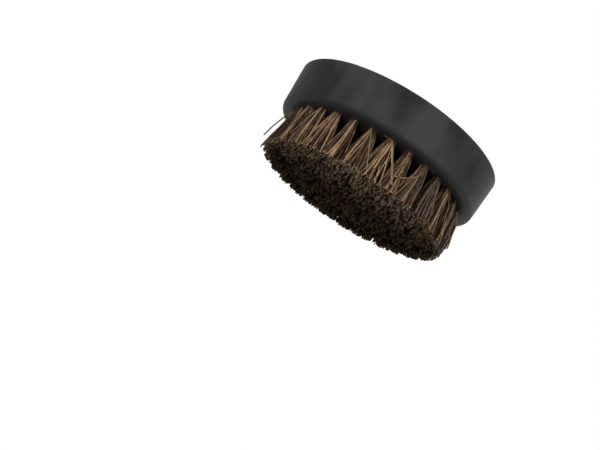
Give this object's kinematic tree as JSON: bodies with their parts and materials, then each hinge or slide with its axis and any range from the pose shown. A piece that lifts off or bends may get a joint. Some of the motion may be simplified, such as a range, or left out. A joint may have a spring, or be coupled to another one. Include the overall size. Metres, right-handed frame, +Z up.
{
  "type": "grill brush head",
  "caption": "Round black brush head with rows of stiff brown plant-fibre tufts and a handle socket in its back, for scrubbing a grill grid.",
  "frame": {"origin": "middle of the plane of the bristle tips, on which the brush stands", "axes": "+Z up from the bristle tips to the rim of the handle socket, +Y towards the notch in the rim"},
  "size_m": [0.102, 0.1015, 0.0415],
  "materials": {
    "head_plastic": "satin black moulded plastic",
    "bristle": "dry brown plant fibre",
    "anchor_wire": "bare flat steel wire"
  },
  "bodies": {
    "root": {"head": "head_plastic", "outer_tuft_01": "bristle", "outer_tuft_02": "bristle", "outer_tuft_03": "bristle", "outer_tuft_04": "bristle", "outer_tuft_05": "bristle", "outer_tuft_06": "bristle", "outer_tuft_07": "bristle", "outer_tuft_08": "bristle", "outer_tuft_09": "bristle", "outer_tuft_10": "bristle", "outer_tuft_11": "bristle", "outer_tuft_12": "bristle", "outer_tuft_13": "bristle", "outer_tuft_14": "bristle", "outer_tuft_15": "bristle", "outer_tuft_16": "bristle", "outer_tuft_17": "bristle", "outer_tuft_18": "bristle", "outer_tuft_19": "bristle", "outer_tuft_20": "bristle", "outer_tuft_21": "bristle", "outer_tuft_22": "bristle", "outer_tuft_23": "bristle", "outer_tuft_24": "bristle", "outer_tuft_25": "bristle", "outer_tuft_26": "bristle", "outer_tuft_27": "bristle", "outer_tuft_28": "bristle", "outer_tuft_29": "bristle", "second_tuft_01": "bristle", "second_tuft_02": "bristle", "second_tuft_03": "bristle", "second_tuft_04": "bristle", "second_tuft_05": "bristle", "second_tuft_06": "bristle", "second_tuft_07": "bristle", "second_tuft_08": "bristle", "second_tuft_09": "bristle", "second_tuft_10": "bristle", "second_tuft_11": "bristle", "second_tuft_12": "bristle", "second_tuft_13": "bristle", "second_tuft_14": "bristle", "second_tuft_15": "bristle", "second_tuft_16": "bristle", "second_tuft_17": "bristle", "second_tuft_18": "bristle", "second_tuft_19": "bristle", "second_tuft_20": "bristle", "second_tuft_21": "bristle", "second_tuft_22": "bristle", "third_row_tufts": "bristle", "fourth_row_tufts": "bristle", "inner_row_tufts": "bristle", "outer_row_anchors": "anchor_wire", "second_row_anchors": "anchor_wire", "third_row_anchors": "anchor_wire", "fourth_row_anchors": "anchor_wire", "inner_row_anchors": "anchor_wire"}
  },
  "joints": []
}
